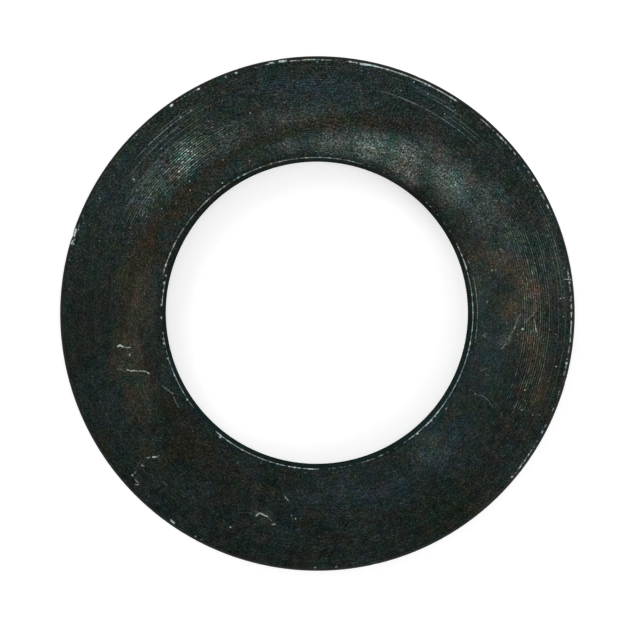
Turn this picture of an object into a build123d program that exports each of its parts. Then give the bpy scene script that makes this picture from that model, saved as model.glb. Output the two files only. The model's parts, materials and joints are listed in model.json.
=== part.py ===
from build123d import *
import os

# A plain flat washer, turned from steel bar in one piece.
# It lies flat with its bore axis on +Z and its origin at the middle of its underside.
# Both faces are faced square to the bore, and all four edges are broken with a 45 degree chamfer.
# All sizes are in millimetres.

outer_diameter = 50.0
bore_diameter = 30.2
thickness = 5.0

# Each chamfer is given by its leg, the same along the face and along the wall.
rim_chamfer = 0.32
bore_chamfer = 0.40


def washer_section():
    """Half of the cross-section, drawn on the XZ plane beside the bore axis."""
    outer_radius = outer_diameter / 2
    bore_radius = bore_diameter / 2
    ring_width = outer_radius - bore_radius
    middle_radius = bore_radius + ring_width / 2

    section = Pos(middle_radius, thickness / 2) * Rectangle(ring_width, thickness)
    section = chamfer(section.vertices().group_by(Axis.X)[0], bore_chamfer)
    section = chamfer(section.vertices().group_by(Axis.X)[-1], rim_chamfer)
    return Plane.XZ * section


def washer():
    """The section turned once round the bore axis."""
    return revolve(washer_section(), axis=Axis.Z)


os.makedirs("parts", exist_ok=True)
export_step(washer(), "parts/washer.step")
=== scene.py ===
import json
import math
import random

import bmesh
import bpy
from bpy.props import FloatProperty, FloatVectorProperty, IntProperty, PointerProperty
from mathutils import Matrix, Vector
from mathutils.kdtree import KDTree


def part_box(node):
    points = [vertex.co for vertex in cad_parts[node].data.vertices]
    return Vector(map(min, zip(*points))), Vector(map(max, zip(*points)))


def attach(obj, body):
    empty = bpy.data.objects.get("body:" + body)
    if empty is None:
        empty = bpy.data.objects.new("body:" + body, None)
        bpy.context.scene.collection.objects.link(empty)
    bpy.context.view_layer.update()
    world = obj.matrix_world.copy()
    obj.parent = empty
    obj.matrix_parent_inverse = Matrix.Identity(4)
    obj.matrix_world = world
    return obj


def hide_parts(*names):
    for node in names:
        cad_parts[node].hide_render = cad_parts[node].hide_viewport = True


bl_info = {
    "name": "Blackened Steel Washer",
    "version": (1, 0, 0),
    "blender": (4, 5, 0),
    "location": "View3D > Sidebar > Washer",
    "description": "A thick flat washer, turned from steel bar and blackened, with its studio",
    "category": "Object",
}

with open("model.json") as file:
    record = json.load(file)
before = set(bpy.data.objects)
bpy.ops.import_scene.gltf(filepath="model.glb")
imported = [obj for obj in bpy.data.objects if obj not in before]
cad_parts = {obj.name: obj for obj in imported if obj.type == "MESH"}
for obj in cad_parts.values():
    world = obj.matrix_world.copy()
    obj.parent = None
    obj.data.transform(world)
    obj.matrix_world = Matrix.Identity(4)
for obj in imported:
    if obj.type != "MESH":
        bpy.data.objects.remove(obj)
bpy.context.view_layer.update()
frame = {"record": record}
node_low, node_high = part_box("washer")
bore_mount = next(m for m in frame["record"]["mounts"] if m["name"] == "bore")

MM = 0.001
TURN = 2 * math.pi

# The camera looks straight down from a little beside the bore's axis, in metres, and its frame
# is shifted back over the washer by this share of the picture's width.
EYE_OFFSET = (-0.0019, 0.0026)
FRAME_SHIFT = (0.0346, -0.0520)

# Dents knocked into the rim's upper corner: angle in degrees, length and depth in millimetres.
RIM_DENTS = (
    (162.4, 1.25, 0.08),
    (143.9, 0.45, 0.05),
    (136.9, 0.40, 0.05),
    (125.3, 0.50, 0.06),
    (108.2, 0.80, 0.04),
    (99.4, 1.20, 0.05),
    (74.0, 0.70, 0.04),
    (66.5, 0.90, 0.05),
    (34.6, 0.35, 0.07),
    (7.7, 0.30, 0.08),
    (354.0, 0.60, 0.04),
    (344.5, 0.80, 0.05),
    (316.0, 0.60, 0.05),
    (283.0, 1.10, 0.06),
    (258.0, 0.90, 0.05),
    (235.2, 0.50, 0.09),
    (216.2, 0.60, 0.06),
    (198.0, 0.50, 0.04),
)

# Nicks in the bore's upper lip: angle in degrees, length and depth in millimetres.
LIP_DENTS = (
    (170.1, 0.40, 0.05),
    (190.8, 0.30, 0.04),
    (231.9, 0.45, 0.05),
    (309.5, 0.55, 0.05),
    (318.5, 0.45, 0.04),
    (96.0, 0.30, 0.03),
    (20.0, 0.30, 0.03),
)


def length(name, description, default, smallest=0.0):
    """A length that a user can change, in metres."""
    return FloatProperty(
        name=name,
        description=description,
        default=default,
        min=smallest,
        unit="LENGTH",
        precision=6,
    )


class WasherSizes(bpy.types.PropertyGroup):
    outer_diameter: length("Outer diameter", "Across the rim", node_high.x - node_low.x, 2 * MM)
    bore_diameter: length(
        "Bore diameter", "Across the hole", 2 * bore_mount["dims"]["r_mm"] * MM, MM
    )
    thickness: length(
        "Thickness", "From the underside to the upper face", node_high.z - node_low.z, 0.5 * MM
    )
    rim_chamfer: length(
        "Rim chamfer", "Leg of the 45 degree chamfer on the rim's corners", 0.32 * MM
    )
    bore_chamfer: length(
        "Bore chamfer", "Leg of the 45 degree chamfer on the bore's corners", 0.40 * MM
    )
    arris: length("Rubbed arris", "How far each sharp arris is rubbed round", 0.045 * MM)
    feed: length("Feed", "Distance between the turning marks on the faces", 0.219 * MM, 0.05 * MM)
    mark_depth: length("Mark depth", "Depth of the deepest turning marks", 0.011 * MM)
    steps: IntProperty(
        name="Steps round",
        description="How many flats the round is made of",
        default=360,
        min=48,
        max=720,
    )


def feed_marks(sizes):
    """The turning marks on a face: radius of the first, distance between two, and how many."""
    first = sizes.bore_diameter / 2 + sizes.bore_chamfer + sizes.arris
    last = sizes.outer_diameter / 2 - sizes.rim_chamfer - sizes.arris
    count = round((last - first) / sizes.feed)
    return first, (last - first) / count, count


def swatch(name, description, default):
    """A colour that a user can change."""
    return FloatVectorProperty(
        name=name, description=description, default=default, subtype="COLOR", min=0, max=1
    )


class WasherFinish(bpy.types.PropertyGroup):
    oxide: swatch("Black oxide", "Colour of the blackened steel", (0.0141, 0.0187, 0.0154))
    oxide_blue: swatch(
        "Blue oxide", "Colour of the black oxide where it turns blue", (0.0186, 0.0290, 0.0306)
    )
    brown_stain: swatch(
        "Brown stain", "Colour of the thin, dark rust stain", (0.0175, 0.0165, 0.0108)
    )
    olive_film: swatch("Olive film", "Colour of the dry, brownish film", (0.0375, 0.0362, 0.0240))
    warm_film: swatch(
        "Warm film", "Colour of the reddish film on the right", (0.0530, 0.0492, 0.0352)
    )
    # The pale film colour, which is partly painted sheen on the upper face.
    haze_and_sheen: swatch("Grey haze", "Colour of the pale film and of the painted sheen", (0.0860, 0.1070, 0.0945))
    # The colour of the painted glint on the turning marks.
    mark_glint_paint: swatch(
        "Painted mark glint", "Colour of the painted glint on a turning mark", (0.34, 0.47, 0.47)
    )
    bare_steel: swatch(
        "Bare steel", "Colour of the metal where the black is rubbed off", (0.5, 0.54, 0.51)
    )


class StudioSettings(bpy.types.PropertyGroup):
    floor: swatch("Floor", "Colour of the floor", (0.80, 0.80, 0.80))
    eye_height: FloatProperty(
        name="Camera height",
        description="Height of the lens above the floor",
        default=0.1440,
        unit="LENGTH",
        precision=4,
    )
    lens: FloatProperty(
        name="Lens",
        description="Focal length",
        default=80.71,
        unit="CAMERA",
    )
    key_power: FloatProperty(
        name="Key light",
        description="Radiance of the large soft lamp",
        default=2.2,
    )


class Value:
    """A number or colour that varies over a surface: a node socket used in plain arithmetic."""

    def __init__(self, finish, socket):
        self.finish = finish
        self.socket = socket

    def also(self, output):
        """Another output of the same node."""
        return Value(self.finish, self.socket.node.outputs[output])

    def maths(self, operation, *terms):
        return self.finish.node(
            "ShaderNodeMath", {"operation": operation}, dict(enumerate(terms))
        )

    def __add__(self, other):
        return self.maths("ADD", self, other)

    __radd__ = __add__

    def __sub__(self, other):
        return self.maths("SUBTRACT", self, other)

    def __rsub__(self, other):
        return self.maths("SUBTRACT", other, self)

    def __mul__(self, other):
        return self.maths("MULTIPLY", self, other)

    __rmul__ = __mul__

    def __truediv__(self, other):
        return self.maths("DIVIDE", self, other)

    def __rpow__(self, other):
        return self.maths("POWER", other, self)

    def __abs__(self):
        return self.maths("ABSOLUTE", self)


class Finish:
    """The node tree of one finish."""

    def __init__(self, tree):
        self.tree = tree
        self.tree.nodes.clear()

    def node(self, kind, settings=None, inputs=None, output=0):
        """Adds a node: its settings first, then the values or links of its sockets."""
        node = self.tree.nodes.new(kind)
        for name, setting in (settings or {}).items():
            setattr(node, name, setting)
        for name, value in (inputs or {}).items():
            if isinstance(value, Value):
                self.tree.links.new(value.socket, node.inputs[name])
            else:
                node.inputs[name].default_value = value
        return Value(self, node.outputs[output]) if node.outputs else node

    def vector(self, operation, *terms, output="Vector"):
        return self.node(
            "ShaderNodeVectorMath",
            {"operation": operation},
            dict(enumerate(terms)),
            output,
        )

    def scaled(self, vector, factor):
        return self.node(
            "ShaderNodeVectorMath",
            {"operation": "SCALE"},
            {"Vector": vector, "Scale": factor},
        )

    def join(self, x, y, z):
        return self.node("ShaderNodeCombineXYZ", inputs={"X": x, "Y": y, "Z": z})

    def fade(self, value, start, end):
        """0 at start and 1 at end, with a soft shoulder at both."""
        return self.node(
            "ShaderNodeMapRange",
            {"interpolation_type": "SMOOTHSTEP"},
            {"Value": value, "From Min": start, "From Max": end},
        )

    def highest(self, values, top=0.0):
        """The highest of several values, each compared as soon as it is made."""
        for value in values:
            top = value.maths("MAXIMUM", value, top)
        return top

    def higher(self, *values):
        return self.highest(values[1:], values[0])

    def cloud(self, place, size, detail, seed, roughness=0.5):
        """Noise from 0 to 1 with lumps about as big as size."""
        return self.node(
            "ShaderNodeTexNoise",
            {"noise_dimensions": "4D"},
            {
                "Vector": place,
                "W": seed,
                "Scale": 1 / size,
                "Detail": detail,
                "Roughness": roughness,
            },
        )

    def scatter(self, place, size, detail, seed):
        """Noise in all three directions, about -0.3 to 0.3 each way."""
        noise = self.node(
            "ShaderNodeTexNoise",
            {"noise_dimensions": "4D"},
            {"Vector": place, "W": seed, "Scale": 1 / size, "Detail": detail},
            "Color",
        )
        return self.vector("SUBTRACT", noise, (0.5, 0.5, 0.5))

    def mix(self, factor, first, second):
        """The first colour where the factor is 0, the second where it is 1."""
        node = self.tree.nodes.new("ShaderNodeMix")
        node.data_type = "RGBA"
        for name, value in (("Factor_Float", factor), ("A_Color", first), ("B_Color", second)):
            socket = next(s for s in node.inputs if s.identifier == name)
            if isinstance(value, Value):
                self.tree.links.new(value.socket, socket)
            elif name == "Factor_Float":
                socket.default_value = value
            else:
                socket.default_value = (*value[:3], 1.0)
        return Value(self, next(s for s in node.outputs if s.identifier == "Result_Color"))


class Face:
    """Places on the washer in millimetres, as its finish sees them."""

    def __init__(self, finish, sizes):
        self.finish = finish
        coords = finish.node("ShaderNodeTexCoord", output="Object")
        self.place = finish.scaled(coords, 1 / MM)
        self.x = finish.node("ShaderNodeSeparateXYZ", inputs={"Vector": self.place}, output="X")
        self.y = self.x.also("Y")
        self.z = self.x.also("Z")
        self.flat = finish.join(self.x, self.y, 0.0)
        self.radius = finish.vector("LENGTH", self.flat, output="Value")
        self.angle = self.x.maths("ARCTAN2", self.y, self.x) * (360 / TURN)
        self.thickness = sizes.thickness / MM
        self.outer = sizes.outer_diameter / 2 / MM
        self.bore = sizes.bore_diameter / 2 / MM
        self.rim_chamfer = sizes.rim_chamfer / MM
        self.bore_chamfer = sizes.bore_chamfer / MM
        self.top = finish.fade(self.z, self.thickness * 0.2, self.thickness * 0.85)
        # 0 on either face, and below 0 down the walls.
        self.below = abs(self.z - self.thickness / 2) - self.thickness / 2

    def sector(self, start, end, soft):
        """1 between two angles, in degrees anticlockwise from +X, and 0 elsewhere."""
        middle = (start + end) / 2
        half = (end - start) / 2
        turned = self.angle.maths("WRAP", self.angle - middle, 180.0, -180.0)
        return self.finish.fade(abs(turned), half + soft / 2, half - soft / 2)

    def band(self, inner, outer, soft):
        """1 between two radii, in millimetres, and 0 elsewhere."""
        middle = (inner + outer) / 2
        half = (outer - inner) / 2
        return self.finish.fade(abs(self.radius - middle), half + soft / 2, half - soft / 2)

    def patch(self, x, y, long, short, turn, place=None):
        """A soft oval: 1 at its middle and 0 at its edge. Its long axis is turned from +X."""
        finish = self.finish
        away = finish.vector("SUBTRACT", place or self.flat, (x, y, 0.0))
        c, s = math.cos(math.radians(turn)), math.sin(math.radians(turn))
        along = finish.vector("DOT_PRODUCT", away, (c / long, s / long, 0.0), output="Value")
        across = finish.vector("DOT_PRODUCT", away, (-s / short, c / short, 0.0), output="Value")
        reach = finish.vector("LENGTH", finish.join(along, across, 0.0), output="Value")
        return finish.fade(reach, 1.0, 0.0)

    def patches(self, table, place):
        """The strongest of several soft ovals at each place."""
        return self.finish.highest(
            self.patch(x, y, long, short, turn, place) * strength
            for x, y, long, short, turn, strength in table
        )

    def line(self, place, points, half_width):
        """A thin line through the points, or one dot: 1 on it and 0 beside it."""
        finish = self.finish
        nearest = None
        if len(points) == 1:
            nearest = finish.vector("DISTANCE", place, (*points[0], 0.0), output="Value")
        for (ax, ay), (bx, by) in zip(points, points[1:]):
            dx, dy = bx - ax, by - ay
            away = finish.vector("SUBTRACT", place, (ax, ay, 0.0))
            square = dx * dx + dy * dy
            run = (dx / square, dy / square, 0.0)
            share = finish.vector("DOT_PRODUCT", away, run, output="Value")
            share = share.maths("MINIMUM", share.maths("MAXIMUM", share, 0.0), 1.0)
            foot = finish.scaled((dx, dy, 0.0), share)
            gap = finish.vector("DISTANCE", away, foot, output="Value")
            nearest = gap.maths("MINIMUM", gap, nearest) if nearest else gap
        return finish.fade(nearest, half_width * 1.25, half_width * 0.35)

    def arris(self, corner_radius, drop):
        """Distance from one arris, on both faces: its radius, and its depth below the face.

        Down the wall it counts for less, because the rubbing reaches further there.
        """
        above = self.below + drop
        above = above.maths("MAXIMUM", above, above * 0.42)
        away = self.finish.join(self.radius - corner_radius, above, 0.0)
        return self.finish.vector("LENGTH", away, output="Value")


# Films on the upper face, in millimetres from the bore's axis:
# x, y, half length, half width, turn in degrees and strength.
# These patches are partly a pale film and partly painted sheen, mostly on the upper half of the
# upper face.
HAZE_AND_SHEEN_PATCHES = (
    (5.2, 16.4, 3.2, 2.0, -15, 1.0),
    (8.6, 15.3, 3.4, 2.2, -30, 0.80),
    (8.0, 14.0, 3.6, 1.5, -30, 0.60),
    (1.4, 16.6, 3.6, 1.8, -3, 0.55),
    (-2.6, 16.6, 2.8, 1.3, 8, 0.28),
    (11.6, 15.6, 4.2, 2.2, -42, 0.42),
    (12.9, 12.9, 4.4, 3.0, -45, 0.85),
    (16.4, 10.2, 4.4, 3.2, -60, 0.38),
    (18.6, 7.0, 3.4, 2.4, -70, 0.25),
    (-12.7, 15.2, 3.8, 2.0, 42, 0.78),
    (-15.8, 12.6, 5.4, 2.3, 54, 0.36),
    (-9.2, 17.0, 5.2, 2.4, 28, 0.26),
    (-1.0, 18.9, 8.0, 1.9, 4, 0.26),
    (15.6, 3.4, 5.5, 1.7, 102, 0.15),
    (-17.6, 12.9, 1.5, 1.2, 0, 0.16),
    (10.8, -13.4, 3.8, 2.2, 38, 0.22),
    (18.45, -2.35, 2.0, 0.8, 58, 0.22),
    (-5.4, -19.6, 1.6, 1.0, -20, 0.25),
)
WARM_PATCHES = (
    (20.4, 2.3, 4.4, 2.2, 105, 0.85),
    (20.8, -2.2, 4.4, 2.4, 93, 0.62),
    (21.2, -6.9, 4.4, 2.0, 78, 0.42),
    (17.4, 5.2, 3.2, 2.0, 130, 0.50),
    (19.2, 0.2, 3.2, 2.4, 100, 0.55),
    (22.8, 5.0, 6.0, 1.8, 100, 0.26),
    (-13.7, 14.2, 1.5, 0.8, 48, 0.55),
    (-11.2, 15.4, 0.7, 0.4, 48, 0.45),
)
OLIVE_PATCHES = (
    (-17.6, 1.5, 7.0, 2.6, 86, 0.85),
    (-18.2, -4.0, 5.5, 2.6, 95, 1.0),
    (-17.2, -8.2, 4.0, 2.4, 108, 0.80),
    (-16.6, -13.6, 3.4, 2.0, 130, 0.30),
    (-11.8, 19.6, 2.8, 1.6, 30, 0.35),
    (2.5, 18.4, 7.0, 1.1, 2, 0.40),
)
BROWN_PATCHES = (
    (-14.3, -9.4, 3.6, 2.2, 122, 0.95),
    (-12.4, -12.6, 5.0, 3.4, 138, 0.75),
    (-16.2, -4.6, 3.2, 1.6, 98, 0.70),
    (-9.0, -15.8, 4.0, 2.6, 152, 0.50),
    (-19.6, -15.0, 5.0, 2.4, 130, 0.40),
    (-12.6, 10.6, 4.6, 1.7, 46, 0.90),
    (-17.0, 5.6, 4.4, 1.6, 66, 0.80),
    (14.8, 6.2, 2.2, 1.3, 110, 0.55),
    (14.2, -19.0, 5.0, 2.2, 38, 0.35),
)
BLUE_PATCHES = (
    (0.5, 21.8, 13.0, 3.4, 0, 0.95),
    (-21.6, 7.5, 8.0, 3.2, 70, 0.16),
    (-11.8, 15.1, 1.3, 0.8, 48, 0.30),
    (11.0, 20.4, 6.0, 2.4, -30, 0.55),
    (3.0, -17.4, 10.5, 3.4, 6, 0.95),
    (12.8, -12.6, 6.5, 4.2, 48, 0.75),
    (-3.0, -21.6, 4.0, 2.4, 0, 0.60),
    (16.8, -4.2, 6.5, 3.0, 96, 0.70),
)

# Scratches and nicks on the upper face: their points, half width and brightness.
SCRATCHES = (
    (((-19.36, -3.19), (-19.1, -3.08), (-18.85, -3.22)), 0.095, 1.0),
    (((-18.85, -3.22), (-18.5, -3.30), (-18.15, -3.26)), 0.05, 0.65),
    (((-18.20, -3.92), (-18.20, -4.05)), 0.07, 0.95),
    (((-18.45, -5.47), (-18.1, -5.54), (-17.7, -5.55)), 0.07, 1.0),
    (((-17.7, -5.55), (-17.2, -5.58), (-16.75, -5.57)), 0.055, 0.50),
    (((-16.75, -5.57), (-16.32, -5.80)), 0.065, 0.80),
    (((-19.4, -5.34), (-18.8, -5.52)), 0.055, 0.20),
    (((-15.05, -7.0), (-14.55, -7.35), (-14.02, -7.75)), 0.045, 0.28),
    (((-14.02, -7.75),), 0.095, 0.45),
    (((-13.95, -8.0), (-13.75, -8.55), (-13.42, -9.1)), 0.045, 0.22),
    (((-16.5, -14.0), (-16.2, -13.92)), 0.05, 0.55),
    (((-15.92, -13.90), (-15.65, -13.88)), 0.08, 1.0),
    (((-15.55, -13.9), (-15.38, -13.75)), 0.055, 0.35),
    (((-17.02, -14.68), (-16.82, -14.80)), 0.08, 0.42),
    (((-17.93, -15.66),), 0.095, 0.65),
    (((-17.75, -15.50), (-17.58, -15.34)), 0.055, 0.30),
    (((-17.62, -16.1), (-17.38, -16.36)), 0.055, 0.42),
    (((-17.58, -16.56), (-17.38, -16.58)), 0.075, 0.50),
    (((-14.9, -16.3), (-14.6, -16.65)), 0.045, 0.20),
    (((-5.93, -19.56), (-5.75, -19.40), (-5.5, -19.37)), 0.08, 0.95),
    (((-5.5, -19.37), (-5.2, -19.52), (-4.86, -19.66)), 0.07, 0.80),
    (((-4.8, -19.7), (-4.42, -20.1)), 0.045, 0.28),
    (((-4.36, -20.42), (-4.16, -20.42)), 0.065, 0.70),
    (((-3.14, -17.76), (-2.84, -18.12)), 0.052, 0.50),
    (((-2.52, -19.56),), 0.08, 0.40),
    (((-2.12, -19.88),), 0.095, 0.75),
    (((19.72, 0.0), (19.34, -0.58), (19.18, -1.10)), 0.045, 0.20),
    (((19.20, -1.10), (19.02, -1.46)), 0.06, 0.34),
    (((18.95, -1.62), (18.66, -2.02), (18.50, -2.50)), 0.045, 0.18),
    (((18.30, -2.78), (18.10, -3.08), (17.85, -3.42)), 0.062, 0.32),
    (((19.00, -1.62), (18.62, -2.32), (18.20, -2.70)), 0.036, 0.16),
    (((18.82, -1.95), (18.72, -2.50), (18.40, -3.02)), 0.036, 0.13),
    (((20.22, -0.80), (20.45, -0.5), (20.92, -0.08)), 0.048, 0.34),
    (((21.0, -0.6), (21.1, -1.1), (21.2, -1.8)), 0.055, 0.32),
    (((15.80, -5.60), (16.40, -5.28)), 0.045, 0.14),
    (((19.86, -1.50),), 0.11, 1.0),
    (((15.3, -7.78),), 0.11, 0.28),
    (((15.5, -7.86), (16.15, -8.05), (16.6, -8.5), (16.95, -9.0)), 0.05, 0.16),
    (((20.10, -7.40),), 0.085, 0.90),
    (((20.10, -8.45),), 0.08, 0.30),
    (((19.78, -9.36),), 0.11, 0.42),
    (((19.0, -9.2), (19.4, -8.6)), 0.045, 0.18),
    (((16.05, -2.05), (16.3, -2.3)), 0.055, 0.30),
    (((23.9, 3.35), (24.6, 3.28)), 0.05, 0.65),
    (((16.9, 4.18),), 0.07, 0.50),
    (((17.27, 4.24),), 0.065, 0.45),
    (((-12.38, 12.82),), 0.075, 0.70),
    (((-12.33, 11.93),), 0.07, 0.55),
    (((-17.8, 13.0),), 0.10, 0.85),
    (((-17.5, 12.0),), 0.075, 0.40),
    (((-6.53, 19.45),), 0.09, 0.85),
    (((-14.2, 20.12), (-14.1, 20.22)), 0.12, 1.0),
    (((-6.56, 14.80),), 0.07, 0.40),
    (((-9.22, 12.65),), 0.08, 0.55),
    (((-12.27, 19.70),), 0.08, 0.55),
    (((-13.3, 19.05),), 0.075, 0.45),
    (((-10.2, 18.05),), 0.07, 0.40),
    (((-23.60, 7.55), (-23.40, 8.15)), 0.11, 1.0),
    (((-23.86, 6.75), (-23.76, 7.05)), 0.085, 0.85),
    (((-4.66, 24.28), (-4.32, 24.32)), 0.085, 0.85),
    (((-3.66, 24.44), (-3.08, 24.50)), 0.12, 1.0),
    (((3.82, 24.26),), 0.10, 0.95),
    (((4.20, 24.18), (4.78, 24.10)), 0.11, 1.0),
    (((5.46, 24.02),), 0.09, 0.95),
    (((19.7, 3.5),), 0.06, 0.50),
    (((9.34, 22.44),), 0.085, 0.70),
    (((10.67, 21.28),), 0.08, 0.75),
    (((8.08, 21.60),), 0.08, 0.60),
    (((12.94, 20.55),), 0.08, 0.65),
    (((12.35, 19.33),), 0.07, 0.50),
    (((23.14, -5.13),), 0.075, 0.70),
    (((23.56, 1.46),), 0.07, 0.60),
    (((22.45, -1.53),), 0.07, 0.50),
    (((23.07, -2.01),), 0.06, 0.45),
    (((20.85, -9.83),), 0.08, 0.60),
    (((21.50, -9.80),), 0.07, 0.40),
    (((-8.42, -20.70),), 0.088, 0.90),
    (((-7.73, -14.46),), 0.07, 0.40),
    (((-7.60, -19.25), (-6.70, -19.30), (-6.30, -19.38)), 0.045, 0.08),
    (((-14.18, -20.02), (-13.90, -20.30)), 0.11, 1.0),
    (((-9.42, -11.95),), 0.15, 1.0),
    (((-14.84, 2.95),), 0.15, 1.0),
    (((-14.70, 3.68),), 0.11, 0.80),
    (((-15.13, 0.84),), 0.11, 0.90),
    (((-15.15, -0.43),), 0.11, 0.95),
    (((-14.94, -2.48),), 0.10, 0.80),
    (((-14.86, -2.88),), 0.15, 1.0),
    (((-14.52, -4.36),), 0.10, 0.70),
    (((-12.64, -8.34),), 0.13, 0.95),
    (((11.45, -9.94),), 0.10, 0.90),
    (((11.05, -10.34), (10.50, -10.91)), 0.08, 1.0),
    (((11.05, -10.34),), 0.14, 1.0),
    (((9.70, -11.64),), 0.15, 1.0),
)

# Where the turning marks carry painted glints: a sector's start, end and softness in degrees, a
# band's inner and outer radius and softness in millimetres, and how much.
GLINTING_GROOVE_BANDS = (
    (112, 162, 26, 18.4, 21.6, 2.4, 0.50),
    (-34, 24, 26, 19.7, 22.7, 1.2, 0.56),
    (8, 38, 20, 20.2, 24.5, 1.6, 0.42),
    (40, 135, 24, 21.6, 24.5, 1.6, 0.22),
    (-80, -20, 24, 19.0, 24.4, 1.6, 0.16),
)
# The streaky patch of painted groove glints at the top left: x, y, half length, half width and
# turn, and how much.
GLINTING_GROOVE_PATCH = (-12.9, 15.0, 6.6, 3.4, 48)
PATCH_GROOVE_GLINT = 0.95
LEAST_GROOVE_GLINT = 0.10

# Single turning marks with a painted glint: radius, start and end angle, and brightness.
PAINTED_MARK_GLINTS = (
    (23.12, 121, 138, 0.48),
    (23.40, 122, 131, 0.24),
    (22.55, 125, 143, 0.28),
    (22.05, 119, 135, 0.15),
    (21.50, 120, 149, 0.16),
    (21.05, 136, 152, 0.14),
    (22.42, 48, 73, 0.40),
    (22.88, 46, 56, 0.32),
    (23.60, 54, 62, 0.56),
    (23.88, 58, 66, 0.24),
    (23.20, 45, 57, 0.20),
    (24.05, -20, 24, 0.09),
    (23.75, 4, 20, 0.20),
    (23.40, -34, 16, 0.09),
    (22.48, -14, 20, 0.16),
    (21.60, -14, 22, 0.10),
)

# Bright specks, a few strong ones far apart and many faint ones: spacing, reach and brightness.
SPECKS = ((1.5, 0.085, 0.42), (0.62, 0.060, 0.16))

# Where the bright line along the rim's corner shows: start and end angle, and how much of it.
RIM_WEAR = (
    (-42, -16, 0.60),
    (-16, 11, 0.76),
    (22, 52, 0.64),
    (55, 84, 1.15),
    (84, 104, 0.70),
    (106, 128, 0.60),
    (128, 142, 0.32),
    (158, 165, 0.70),
    (190, 218, 0.22),
    (230, 251, 0.26),
    (268, 278, 0.34),
)
# The same for the bore's lip and for the corner above it.
LIP_WEAR = (
    (-56, 28, 1.05),
    (28, 70, 0.50),
    (166, 178, 0.95),
    (178, 186, 0.55),
    (186, 217, 0.90),
    (217, 229, 0.35),
    (229, 272, 1.10),
    (272, 304, 0.62),
)
CORNER_WEAR = (
    (-12, 14, 1.00),
    (14, 22, 0.45),
    (80, 100, 0.40),
    (222, 284, 0.40),
    (304, 348, 0.30),
)
# The share of wear where a table has none.
LEAST_WEAR = 0.08
# Between these angles a bright line climbs the chamfer from the lip towards the corner. It
# starts this much earlier to climb, and would reach the corner this much later.
CLIMB_START, CLIMB_END = 70, 166
CLIMB_LEAD, CLIMB_LAG = 10, 34
# The angle at which the turn round the bore starts and ends, away from the climb.
SEAM = -56.0
# Half widths of the bright lines, in millimetres, and how far the rim's lies inside its corner.
LIP_LINE, CLIMB_LINE, CORNER_LINE, RIM_LINE, OUTER_LINE = 0.112, 0.058, 0.064, 0.092, 0.060
RIM_LINE_INSET = 0.07

# How many times lighter or darker each kind of grain and mark makes the finish, as powers of two:
# by itself, and then with the pale film and its painted sheen, with the upper side or with the
# painted groove glints added. The crest, bead and glint steps paint glints on the turning marks.
GRAIN_STEPS, HAZE_AND_SHEEN_GRAIN_STEPS, UPPER_GRAIN_STEPS = 7.2, 4.2, 2.2
WORM_STEPS, GLINT_WORM_STEPS = 1.3, 5.2
COARSE_STEPS = 1.9
CREST_GLINT_STEPS, LUCKY_CREST_GLINT_STEPS = 1.7, 1.3
BEAD_GLINT_STEPS = 6.9
LUCK_STEPS, GLINT_LUCK_STEPS = 0.25, 0.35
# How much painted shade darkens the rim's wall and its chamfer, in the same measure.
RIM_WALL_SHADE_STEPS, RIM_CHAMFER_SHADE_STEPS = 0.4, 2.0

# How far the tarnish goes towards red, green and blue.
TINT_WEIGHTS = (1.55, 0.40, 1.00)
# What the bluish light beside the bore does to red, green and blue.
COOLING = (0.80, 1.05, 1.16)
# The bare steel's own hue, and how far it wanders towards red, green and blue.
STEEL_HUE, STEEL_HUE_DRIFT = (0.94, 1.0, 0.99), (0.9, 0.3, 0.9)

# The ring that another washer left: its middle and radius in millimetres, and its middle angle.
STACK_MIDDLE = (3.9, -4.3, 0.0)
STACK_RADIUS = 23.1
STACK_ANGLE = 124.0

# The radius at which a length along the marks is true, in millimetres.
MARK_RADIUS = 20.0


def stack_mark(face, place):
    """The thin brown ring that another washer left where it lay."""
    finish = face.finish
    reach = finish.vector("DISTANCE", place, STACK_MIDDLE, output="Value")
    line = finish.fade(abs(reach - STACK_RADIUS), 1.0, 0.15)
    away = finish.vector("SUBTRACT", place, STACK_MIDDLE)
    parts = finish.node("ShaderNodeSeparateXYZ", inputs={"Vector": away}, output="X")
    turned = parts.maths("ARCTAN2", parts.also("Y"), parts) * (360 / TURN)
    return line * finish.fade(abs(turned - STACK_ANGLE), 64.0, 38.0)


class TurningMarks:
    """The turning marks: how near a crest is, and noise that follows each one."""

    def __init__(self, face, sizes):
        self.finish = finish = face.finish
        first, pitch, _ = feed_marks(sizes)
        self.run = face.radius + face.below
        phase = (self.run - first / MM) / (pitch / MM)
        self.ring = finish.node("ShaderNodeMath", {"operation": "ROUND"}, {0: phase})
        self.crest = finish.fade(abs(phase - self.ring), 0.42, 0.04)
        self.across, self.around = face.x / face.radius, face.y / face.radius

    def spot(self, step, turns):
        """A place for noise that runs round the washer and differs from one step to the next."""
        return self.finish.join(step, self.across * turns, self.around * turns)

    def noise(self, step, length, seed, detail=1.0):
        """Noise in streaks along the marks, about as long as length in millimetres."""
        spot = self.spot(step, MARK_RADIUS / length)
        return self.finish.cloud(spot, 1.0, detail, seed, roughness=0.6)


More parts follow.
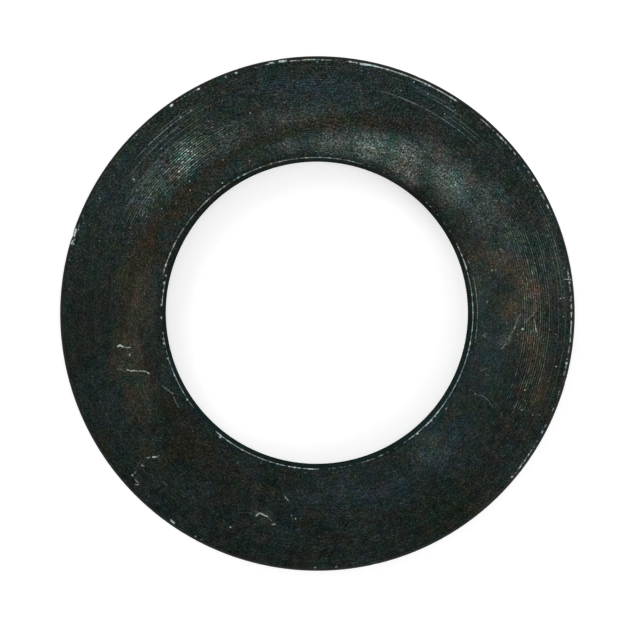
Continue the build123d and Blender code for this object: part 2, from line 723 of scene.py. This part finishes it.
class Blackening:
    """The layers of the blackened finish, from the oxide up to the scratches."""

    def __init__(self, finish, sizes, colours):
        self.finish, self.colours = finish, colours
        self.face = face = Face(finish, sizes)
        place = face.place

        # Uneven edges for the films, and shaky lines for the scratches.
        self.drift = finish.scatter(place, size=2.4, detail=3.0, seed=3.7)
        self.wandering = self.shifted(self.drift, 2.2)
        shake = finish.scatter(place, size=0.28, detail=1.0, seed=8.3)
        self.shaky = self.shifted(shake, 0.13)

        self.grain = finish.cloud(place, size=0.155, detail=2.0, seed=11.0, roughness=0.62) - 0.5
        self.coarse = finish.cloud(place, size=0.75, detail=3.0, seed=5.0, roughness=0.6) - 0.5
        self.mottle = finish.cloud(place, size=2.8, detail=3.0, seed=21.0, roughness=0.55)
        self.zones = finish.cloud(place, size=8.0, detail=2.0, seed=31.0, roughness=0.5)

        self.marks = marks = TurningMarks(face, sizes)
        self.arcs = marks.noise(marks.ring * 2.3, length=9.0, seed=41.0)
        self.beads = marks.noise(marks.ring * 5.7, length=0.42, seed=43.0)
        self.worms = marks.noise(marks.run / 0.17, length=0.55, seed=47.0, detail=2.0) - 0.5
        self.luck = finish.node(
            "ShaderNodeTexWhiteNoise", {"noise_dimensions": "1D"}, {"W": marks.ring + 4.0}, "Value"
        )
        # Where the turning marks carry painted glints: the streaky patch at the top left and the
        # bands.
        streaks = face.patch(*GLINTING_GROOVE_PATCH) * PATCH_GROOVE_GLINT
        bands = [
            face.sector(start, end, soft) * face.band(inner, outer, edge) * strength
            for start, end, soft, inner, outer, edge, strength in GLINTING_GROOVE_BANDS
        ]
        groove_glint = finish.higher(streaks, *bands)
        self.groove_glint = groove_glint.maths("MAXIMUM", groove_glint, LEAST_GROOVE_GLINT)

    def shifted(self, noise, reach):
        """Places on the face, moved by noise."""
        return self.finish.vector("ADD", self.face.flat, self.finish.scaled(noise, reach))

    def films(self):
        """The colour of the oxide with its stains and films, and how much of the pale film and
        painted sheen is on it.
        """
        finish, face, colours = self.finish, self.face, self.colours
        top, wandering, brown = face.top, self.wandering, colours.brown_stain
        blue_zones = finish.fade(self.zones, 0.40, 0.66) * 0.4
        colour = finish.mix(blue_zones, colours.oxide, colours.oxide_blue)
        blue = face.patches(BLUE_PATCHES, wandering) * top
        colour = finish.mix(blue, colour, colours.oxide_blue)
        colour = finish.mix(face.patches(BROWN_PATCHES, wandering) * top, colour, brown)
        colour = finish.mix(finish.fade(self.mottle, 0.56, 0.74) * 0.4, colour, brown)
        olive = face.patches(OLIVE_PATCHES, wandering) * top
        colour = finish.mix(olive, colour, colours.olive_film)
        warm = face.patches(WARM_PATCHES, wandering) * top
        colour = finish.mix(warm, colour, colours.warm_film)
        # The pale film, partly painted sheen on the upper face.
        haze_and_sheen = face.patches(HAZE_AND_SHEEN_PATCHES, wandering) * top
        colour = finish.mix(haze_and_sheen * (0.72 + self.mottle * 0.4), colour, colours.haze_and_sheen)
        stain = stack_mark(face, self.shifted(self.drift, 1.1)) * top
        return finish.mix(stain * 0.68, colour, brown), haze_and_sheen

    def tarnished(self, colour, haze_and_sheen):
        """The colour with small patches of red, green and blue tarnish."""
        finish, place = self.finish, self.face.place
        along = self.marks.spot(self.marks.ring * 3.1, 18.0)
        tints = (
            (place, 1.15, 1.0 - haze_and_sheen * 0.35, 51.0),
            (place, 0.24, 0.50, 53.0),
            (along, 1.0, self.groove_glint * 0.5, 57.0),
        )
        for spot, size, strength, seed in tints:
            noise = finish.scatter(spot, size, detail=1.5, seed=seed)
            tint = finish.vector("MULTIPLY", noise, TINT_WEIGHTS)
            tint = finish.vector("ADD", finish.scaled(tint, strength), (1.0, 1.0, 1.0))
            colour = finish.vector("MULTIPLY", colour, tint)
        return colour

    def lightness(self, haze_and_sheen):
        """How many times lighter the grain and the marks make the finish, with painted glints on
        the crests and painted shade on the rim.
        """
        finish, face, groove_glint = self.finish, self.face, self.groove_glint
        crest, luck, chamfer = self.marks.crest, self.luck, face.rim_chamfer
        # Painted shade: the rim's wall a little darker and its chamfers much darker.
        rim_shade = finish.fade(face.radius, face.outer - chamfer, face.outer - 0.2)
        rim_chamfer_shade = finish.fade(face.below, -0.06 - chamfer, 0.02 - chamfer)
        # More grain contrast under the painted sheen and on the upper half.
        lively = haze_and_sheen * HAZE_AND_SHEEN_GRAIN_STEPS + face.sector(15, 165, 40) * UPPER_GRAIN_STEPS
        return 2.0 ** (
            self.grain * (GRAIN_STEPS + lively)
            + self.worms * (WORM_STEPS + groove_glint * GLINT_WORM_STEPS)
            + self.coarse * COARSE_STEPS
            # Painted glints: crests, beads and marks made lighter where the grooves glint.
            + (crest - 0.56)
            * groove_glint
            * (CREST_GLINT_STEPS + luck * LUCKY_CREST_GLINT_STEPS)
            * (self.arcs * 3.0)
            + (self.beads - 0.5) * crest * groove_glint * BEAD_GLINT_STEPS
            + (luck - 0.5) * (LUCK_STEPS + groove_glint * GLINT_LUCK_STEPS)
            # Painted shade on the rim's wall and chamfer.
            - rim_shade * (RIM_WALL_SHADE_STEPS + rim_chamfer_shade * RIM_CHAMFER_SHADE_STEPS)
        )

    def cooled(self, colour):
        """The colour turned bluish beside the lower half of the bore."""
        finish, face = self.finish, self.face
        cool = finish.fade(face.radius, face.bore + 0.55, face.bore + 0.10)
        cool = cool * face.sector(190, 372, 40)
        return finish.mix(cool, colour, finish.vector("MULTIPLY", colour, COOLING))

    def specks(self):
        """Bright specks on the faces, most of them on the upper half."""
        finish, face = self.finish, self.face
        on_face = finish.fade(face.below, -0.06, -0.03)
        busy = on_face * (0.35 + face.sector(-20, 165, 40) * 0.65)
        specks = None
        for spacing, reach, strength in SPECKS:
            cells = finish.node(
                "ShaderNodeTexVoronoi",
                {"voronoi_dimensions": "2D", "feature": "F1"},
                {"Vector": face.flat, "Scale": 1 / spacing},
                "Distance",
            )
            luck = finish.node(
                "ShaderNodeSeparateXYZ", inputs={"Vector": cells.also("Color")}, output="X"
            )
            size = reach / spacing
            dots = finish.fade(cells, size, size * 0.35) * finish.fade(luck, 0.62, 1.0)
            dots = dots * strength * busy
            specks = finish.higher(dots, specks) if specks else dots
        return specks

    def painted_mark_glints(self):
        """Single turning marks with a painted glint."""
        finish, face = self.finish, self.face
        return finish.highest(
            face.sector(start, end, 8.0)
            * finish.fade(abs(face.radius - radius), 0.056, 0.016)
            * strength
            for radius, start, end, strength in PAINTED_MARK_GLINTS
        )

    def wear(self, sparkle):
        """The bright, beaded lines where the arrises are rubbed."""
        finish, face, marks = self.finish, self.face, self.marks
        bore, outer = face.bore, face.outer
        rub = finish.cloud(face.place, size=0.34, detail=2.0, seed=71.0, roughness=0.6) * 0.7
        rub = rub + marks.noise(0.0, length=2.5, seed=77.0) * 0.3
        turn = face.angle.maths("WRAP", face.angle, SEAM + 360, SEAM)
        knocks = finish.fade(marks.noise(0.0, length=0.45, seed=97.0), 0.51, 0.66)
        beading = 0.30 + finish.fade(sparkle, 0.36, 0.62) * 0.46 + knocks * 0.80

        def worn(distance, half_width, share, even=0.0):
            """A line that is rubbed bright along part of its length, in beads or more evenly."""
            spread = finish.fade(rub, 0.66 - share * 0.28, 0.76 - share * 0.24)
            reach = half_width * (0.82 + knocks * 0.58)
            line = finish.fade(distance, reach, reach * 0.3)
            return line * spread * (even + beading * (1.0 - even))

        def shares(table):
            spans = (face.sector(start, end, 7.0) * share for start, end, share in table)
            return finish.highest(spans, LEAST_WEAR)

        climb = finish.fade(turn, CLIMB_START - CLIMB_LEAD, CLIMB_END + CLIMB_LAG)
        climb = climb * face.bore_chamfer
        climbing = face.sector(CLIMB_START, CLIMB_END, 5.0)
        climb_gap = face.radius - climb - bore
        slope = finish.fade(face.radius, bore + 0.01, bore + 0.04)
        lip = face.arris(bore, face.bore_chamfer)
        lip_wear = worn(lip, LIP_LINE, shares(LIP_WEAR))
        climb_wear = worn(abs(climb_gap), CLIMB_LINE, 0.95) * climbing * slope * face.top
        corner = face.arris(bore + face.bore_chamfer, 0.0)
        corner_wear = worn(corner, CORNER_LINE, shares(CORNER_WEAR)) * 0.6
        rim = face.arris(outer - face.rim_chamfer - RIM_LINE_INSET, 0.0)
        rim_wear = worn(rim, RIM_LINE, shares(RIM_WEAR), even=0.20)
        outer_wear = worn(face.arris(outer, face.rim_chamfer), OUTER_LINE, 0.12)
        return finish.higher(lip_wear, climb_wear, corner_wear, rim_wear, outer_wear)

    def scratches(self):
        """The scratches and nicks on the upper face, each a little broken up."""
        finish, face = self.finish, self.face
        scratches = finish.highest(
            face.line(self.shaky, points, half_width) * strength
            for points, half_width, strength in SCRATCHES
        )
        noise = finish.cloud(face.place, size=0.22, detail=1.0, seed=81.0)
        broken = finish.fade(noise, 0.30, 0.60)
        chamfers = face.thickness - face.bore_chamfer
        above = finish.fade(face.z, chamfers - 0.15, chamfers)
        return scratches * above * (0.40 + broken * 0.75)

    def bared(self, colour, bare):
        """The colour with the metal showing where the black is rubbed off."""
        finish = self.finish
        noise = finish.scatter(self.face.place, size=0.35, detail=1.0, seed=95.0)
        hue = finish.vector("MULTIPLY", noise, STEEL_HUE_DRIFT)
        hue = finish.vector("ADD", hue, STEEL_HUE)
        steel = finish.vector("MULTIPLY", hue, tuple(self.colours.bare_steel))
        return finish.mix(bare, colour, steel)


def blackened_steel(sizes, colours):
    """Black oxide on turned steel: stained, hazed with a painted sheen, with painted glints on its
    turning marks, rubbed bright at the arrises and scratched.
    """
    material = bpy.data.materials.new("blackened_steel")
    material.use_nodes = True
    finish = Finish(material.node_tree)
    layers = Blackening(finish, sizes, colours)
    face, marks = layers.face, layers.marks

    colour, haze_and_sheen = layers.films()
    colour = layers.tarnished(colour, haze_and_sheen)
    colour = finish.scaled(colour, layers.lightness(haze_and_sheen))
    colour = layers.cooled(colour)

    specks = layers.specks()
    # Painted glints on single turning marks, broken up by noise.
    rubbed = layers.painted_mark_glints()
    sparkle = marks.noise(marks.ring * 3.3, length=0.20, seed=91.0)
    rubbed = rubbed * face.top * finish.fade(sparkle, 0.30, 0.66)
    wear = layers.wear(sparkle)
    scratches = layers.scratches()
    bare = finish.higher(wear * (0.45 + face.top * 0.55), specks, scratches)
    colour = finish.mix(rubbed, colour, colours.mark_glint_paint)
    colour = layers.bared(colour, bare)

    grain, coarse = layers.grain, layers.coarse
    gloss = 0.36 + coarse * 0.30 + haze_and_sheen * 0.08 - layers.groove_glint * 0.06 + grain * 0.25
    relief = grain * 0.0030 + layers.worms * 0.0012 + coarse * 0.0035
    bump = finish.node(
        "ShaderNodeBump",
        inputs={"Strength": 1.0, "Distance": MM, "Height": relief},
        output="Normal",
    )
    # Painted shade down the bore: its wall is not metallic and, with no specular, reflects
    # nothing.
    bore_wall_shade = finish.fade(face.radius, face.bore + 0.05, face.bore + 0.015)
    shader = finish.node(
        "ShaderNodeBsdfPrincipled",
        inputs={
            "Base Color": colour,
            "Metallic": finish.higher(bare, 1.0 - bore_wall_shade),
            "Roughness": gloss,
            "Normal": bump,
            "Specular IOR Level": 0.0,
        },
    )
    finish.node("ShaderNodeOutputMaterial", inputs={"Surface": shader})
    return material


# What Blender's edit mode selects, for each kind of item.
SELECT_MODES = {
    "verts": (True, False, False),
    "edges": (False, True, False),
    "faces": (False, False, True),
}
# Places this near each other, in metres, are level, are the same one, or are merged.
LEVEL, SAME, MERGED = 1e-7, 1e-9, 1e-6
# Faces that meet at less than this angle are shaded smooth.
SMOOTH_ANGLE = math.radians(40)
# Faces are divided finer round a dent, out to this many times its reach.
DENT_MARGIN = 1.3

# The turning marks' depths are drawn at random from this seed, as shares of the deepest mark's:
# beside the bore, where the face is smoother, on the rest of it, and on the walls.
DEPTH_SEED = 7
SMOOTH_WIDTH = 2.3 * MM
SMOOTH_SHARE, FACE_SHARE = 0.35, 0.75
FACE_SPREAD, WALL_SPREAD = (0.7, 1.25), (0.3, 0.8)
WALL_MARKS = 9


def choose(piece, kind, test):
    """Selects, in edit mode, the vertices, edges or faces that pass the test."""
    bpy.ops.mesh.select_all(action="DESELECT")
    bpy.context.tool_settings.mesh_select_mode = SELECT_MODES[kind]
    mesh = bmesh.from_edit_mesh(piece.data)
    found = 0
    for item in getattr(mesh, kind):
        if test(item):
            item.select_set(True)
            found += 1
    mesh.select_flush_mode()
    bmesh.update_edit_mesh(piece.data)
    return found


def bevel_corners(size, segments=1):
    """Bevels the selected corners of the section."""
    bpy.ops.mesh.bevel(offset=size, offset_type="OFFSET", segments=segments, affect="VERTICES")


def draw_section(sizes):
    """The half section beside the axis, as a closed line on the XZ plane."""
    outer, bore = sizes.outer_diameter / 2, sizes.bore_diameter / 2
    thickness, width = sizes.thickness, outer - bore
    middle = Vector((bore + width / 2, 0, thickness / 2))
    bpy.ops.object.select_all(action="DESELECT")
    bpy.ops.mesh.primitive_plane_add(size=1, location=middle, rotation=(math.pi / 2, 0, 0))
    piece = bpy.context.object
    bpy.ops.object.mode_set(mode="EDIT")
    bpy.ops.transform.resize(value=(width, 1, thickness), center_override=middle)
    bpy.ops.object.mode_set(mode="OBJECT")
    bpy.ops.object.transform_apply(location=True, rotation=True, scale=True)
    bpy.ops.object.mode_set(mode="EDIT")
    choose(piece, "verts", lambda v: v.co.x < middle.x)
    bevel_corners(sizes.bore_chamfer)
    choose(piece, "verts", lambda v: v.co.x > middle.x)
    bevel_corners(sizes.rim_chamfer)
    bpy.ops.mesh.select_all(action="SELECT")
    bevel_corners(sizes.arris, segments=2)
    bpy.ops.mesh.delete(type="ONLY_FACE")
    return piece


def side_tests(sizes):
    """Tests of whether a place is on the upper face, on the underside, on the rim or in the bore.

    The last two are for the section, before it is spun.
    """
    outer, bore, thickness = sizes.outer_diameter / 2, sizes.bore_diameter / 2, sizes.thickness
    return (
        lambda co: co.z > thickness - LEVEL,
        lambda co: co.z < LEVEL,
        lambda co: co.x > outer - LEVEL,
        lambda co: co.x < bore + LEVEL,
    )


def cut_line(piece, on_side, marks):
    """Divides one straight side of the section into a crest and a valley for each mark."""
    if choose(piece, "edges", lambda edge: all(on_side(v.co) for v in edge.verts)) != 1:
        raise RuntimeError("the section's side wasn't found")
    bpy.ops.mesh.subdivide(number_cuts=2 * marks - 1)


def sink_valleys(piece, on_side, along, down, depth_at):
    """Moves every second point of a divided side into the metal."""
    mesh = bmesh.from_edit_mesh(piece.data)
    line = sorted((v.co.copy() for v in mesh.verts if on_side(v.co)), key=along)
    for spot in line[1::2]:
        choose(piece, "verts", lambda v, spot=spot: (v.co - spot).length < SAME)
        bpy.ops.transform.translate(value=down * depth_at(spot))


def cut_marks(piece, sizes):
    """Cuts the turning marks into the four sides of the section."""
    on_top, on_under, on_rim, on_bore = side_tests(sizes)
    smooth = sizes.bore_diameter / 2 + SMOOTH_WIDTH
    choice = random.Random(DEPTH_SEED)

    def face_depth(co):
        share = SMOOTH_SHARE if co.x < smooth else FACE_SHARE
        return sizes.mark_depth * share * choice.uniform(*FACE_SPREAD)

    def wall_depth(co):
        return sizes.mark_depth * choice.uniform(*WALL_SPREAD)

    def by_radius(co):
        return co.x

    def by_height(co):
        return co.z

    _, _, face_marks = feed_marks(sizes)
    sides = (
        (on_top, face_marks, by_radius, (0, 0, -1), face_depth),
        (on_under, face_marks, by_radius, (0, 0, 1), face_depth),
        (on_rim, WALL_MARKS, by_height, (-1, 0, 0), wall_depth),
        (on_bore, WALL_MARKS, by_height, (1, 0, 0), wall_depth),
    )
    for on_side, marks, _, _, _ in sides:
        cut_line(piece, on_side, marks)
    for on_side, _, along, down, depth_at in sides:
        sink_valleys(piece, on_side, along, Vector(down), depth_at)


def spin_round(piece, sizes):
    """Spins the section once round the axis, and marks the crests on both faces sharp."""
    bpy.ops.mesh.select_all(action="SELECT")
    bpy.ops.mesh.spin(steps=sizes.steps, angle=TURN, center=(0, 0, 0), axis=(0, 0, 1))
    bpy.ops.mesh.select_all(action="SELECT")
    bpy.ops.mesh.remove_doubles(threshold=MERGED)
    bpy.ops.mesh.normals_make_consistent(inside=False)

    on_top, on_under, _, _ = side_tests(sizes)
    choose(piece, "edges", lambda edge: all(on_top(v.co) or on_under(v.co) for v in edge.verts))
    bpy.ops.mesh.mark_sharp()


def list_dents(sizes):
    """The dents in the rim's corner and the bore's lip: spot, push and reach."""
    thickness = sizes.thickness
    rim = sizes.outer_diameter / 2 - 0.35 * sizes.rim_chamfer
    lip = sizes.bore_diameter / 2 + 0.3 * sizes.bore_chamfer
    # Each table with its dents' radius and height, and how far outward they are knocked.
    groups = (
        (RIM_DENTS, rim, thickness - 0.35 * sizes.rim_chamfer, -0.8),
        (LIP_DENTS, lip, thickness - 0.7 * sizes.bore_chamfer, 0.7),
    )
    dents = []
    for table, radius, height, outward in groups:
        for angle, length, depth in table:
            turn = math.radians(angle)
            out = Vector((math.cos(turn), math.sin(turn), 0))
            push = (out * outward + Vector((0, 0, -0.65))) * depth * MM
            dents.append((out * radius + Vector((0, 0, height)), push, length / 2 * MM))
    return dents


def knock_in(piece, dents):
    """Knocks the metal in at each dent, on finer patches of faces."""

    def near_a_dent(face):
        middle = face.calc_center_median()
        return any((middle - spot).length < reach * DENT_MARGIN for spot, push, reach in dents)

    choose(piece, "faces", near_a_dent)
    bpy.ops.mesh.subdivide(number_cuts=2)
    mesh = bmesh.from_edit_mesh(piece.data)
    points = KDTree(len(mesh.verts))
    for vertex in mesh.verts:
        points.insert(vertex.co, vertex.index)
    points.balance()
    bpy.context.tool_settings.mesh_select_mode = SELECT_MODES["verts"]
    for spot, push, reach in dents:
        bpy.ops.mesh.select_all(action="DESELECT")
        mesh = bmesh.from_edit_mesh(piece.data)
        mesh.verts.ensure_lookup_table()
        mesh.verts[points.find(spot)[1]].select_set(True)
        bmesh.update_edit_mesh(piece.data)
        bpy.ops.transform.translate(
            value=push,
            use_proportional_edit=True,
            proportional_edit_falloff="SMOOTH",
            proportional_size=reach,
        )


class WASHER_OT_turn(bpy.types.Operator):
    """Turns the washer from its section, knocks its dents in and blackens it"""

    bl_idname = "washer.turn"
    bl_label = "Turn washer"

    def execute(self, context):
        sizes = context.scene.washer_sizes
        piece = draw_section(sizes)
        piece.name = piece.data.name = "turned_washer"
        cut_marks(piece, sizes)
        spin_round(piece, sizes)
        knock_in(piece, list_dents(sizes))
        bpy.ops.object.mode_set(mode="OBJECT")
        bpy.ops.object.shade_smooth_by_angle(angle=SMOOTH_ANGLE, keep_sharp_edges=True)
        piece.data.materials.clear()
        piece.data.materials.append(blackened_steel(sizes, context.scene.washer_finish))
        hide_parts("washer")
        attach(piece, "root")
        return {"FINISHED"}


# Where the lamps face, and the large and small lamps' sides, in metres.
LAMP_AIM = Vector((0, 0, 0.005))
LARGE_LAMP, SMALL_LAMP = 0.5, 0.06
# The fill light's share of the key light, and the small lamps' radiance.
FILL_SHARE = 0.6
SMALL_LAMP_LIGHT = 9.0


def lamp(name, place, size, radiance):
    """A soft square lamp that faces the washer, lit to a given radiance."""
    data = bpy.data.lights.new(name, "AREA")
    data.shape = "SQUARE"
    data.size = size
    data.energy = radiance * size * size * 4
    light = bpy.data.objects.new(name, data)
    bpy.context.scene.collection.objects.link(light)
    light.location = place
    light.rotation_euler = (LAMP_AIM - Vector(place)).to_track_quat("-Z", "Y").to_euler()


class WASHER_OT_studio(bpy.types.Operator):
    """Lays the pale floor and sets the lamps and the camera"""

    bl_idname = "washer.studio"
    bl_label = "Set studio"

    def execute(self, context):
        scene, studio = context.scene, context.scene.washer_studio
        bpy.ops.object.select_all(action="DESELECT")
        bpy.ops.mesh.primitive_plane_add(size=3.0, location=(0, 0, 0))
        floor = context.object
        floor.name = floor.data.name = "floor"
        floor.data.materials.append(pale_floor(studio))
        daylight(scene)

        key, fill = studio.key_power, studio.key_power * FILL_SHARE
        lamp("lamp_key", (-0.45, 0.55, 0.75), LARGE_LAMP, key)
        lamp("lamp_fill", (0.60, -0.35, 0.70), LARGE_LAMP, fill)
        lamp("lamp_high_left", (-0.062, 0.058, 0.60), SMALL_LAMP, SMALL_LAMP_LIGHT)
        lamp("lamp_high_right", (0.118, 0.011, 0.60), SMALL_LAMP, SMALL_LAMP_LIGHT)

        data = bpy.data.cameras.new("camera")
        data.lens = studio.lens
        data.sensor_width = 36.0
        data.shift_x, data.shift_y = FRAME_SHIFT
        data.clip_start = 0.01
        data.clip_end = 20.0
        camera = bpy.data.objects.new("camera", data)
        scene.collection.objects.link(camera)
        camera.location = (*EYE_OFFSET, studio.eye_height)
        camera.rotation_euler = (0.0, 0.0, 0.0)
        scene.camera = camera
        scene.view_settings.view_transform = "Standard"
        return {"FINISHED"}


def pale_floor(studio):
    """A pale floor that a lens or polished metal sees as white, with the washer's shadow on it."""
    material = bpy.data.materials.new("pale_floor")
    material.use_nodes = True
    finish = Finish(material.node_tree)
    rays = finish.node("ShaderNodeLightPath", output="Is Camera Ray")
    seen = finish.higher(rays, rays.also("Is Glossy Ray"), rays.also("Is Transmission Ray"))
    shader = finish.node(
        "ShaderNodeBsdfPrincipled",
        inputs={
            "Base Color": (*studio.floor, 1.0),
            "Roughness": 0.9,
            "Specular IOR Level": 0.1,
            "Emission Color": (1.0, 1.0, 1.0, 1.0),
            "Emission Strength": seen * 0.5,
        },
    )
    finish.node("ShaderNodeOutputMaterial", inputs={"Surface": shader})
    return material


def daylight(scene):
    """An even light from all round, dimmer straight above, as under a dark ceiling."""
    world = bpy.data.worlds.new("studio_light")
    world.use_nodes = True
    scene.world = world
    finish = Finish(world.node_tree)
    direction = finish.node("ShaderNodeTexCoord", output="Generated")
    height = finish.node("ShaderNodeSeparateXYZ", inputs={"Vector": direction}, output="Z")
    level = 1.0 - finish.fade(height, 0.1, 0.95) * 0.50
    background = finish.node(
        "ShaderNodeBackground", inputs={"Color": (1.0, 1.0, 1.0, 1.0), "Strength": level}
    )
    finish.node("ShaderNodeOutputWorld", inputs={"Surface": background})


class WASHER_PT_bench(bpy.types.Panel):
    bl_label = "Washer"
    bl_idname = "WASHER_PT_bench"
    bl_space_type = "VIEW_3D"
    bl_region_type = "UI"
    bl_category = "Washer"

    def draw(self, context):
        layout = self.layout
        groups = (
            ("washer_sizes", WasherSizes),
            ("washer_finish", WasherFinish),
            ("washer_studio", StudioSettings),
        )
        for attribute, group in groups:
            box = layout.box()
            for name in group.__annotations__:
                box.prop(getattr(context.scene, attribute), name)
        layout.operator(WASHER_OT_turn.bl_idname)
        layout.operator(WASHER_OT_studio.bl_idname)


CLASSES = (
    WasherSizes,
    WasherFinish,
    StudioSettings,
    WASHER_OT_turn,
    WASHER_OT_studio,
    WASHER_PT_bench,
)


def register():
    for cls in CLASSES:
        bpy.utils.register_class(cls)
    bpy.types.Scene.washer_sizes = PointerProperty(type=WasherSizes)
    bpy.types.Scene.washer_finish = PointerProperty(type=WasherFinish)
    bpy.types.Scene.washer_studio = PointerProperty(type=StudioSettings)


def unregister():
    del bpy.types.Scene.washer_studio
    del bpy.types.Scene.washer_finish
    del bpy.types.Scene.washer_sizes
    for cls in reversed(CLASSES):
        bpy.utils.unregister_class(cls)


def main():
    register()
    bpy.ops.washer.turn()
    bpy.ops.washer.studio()


if __name__ == "__main__":
    main()
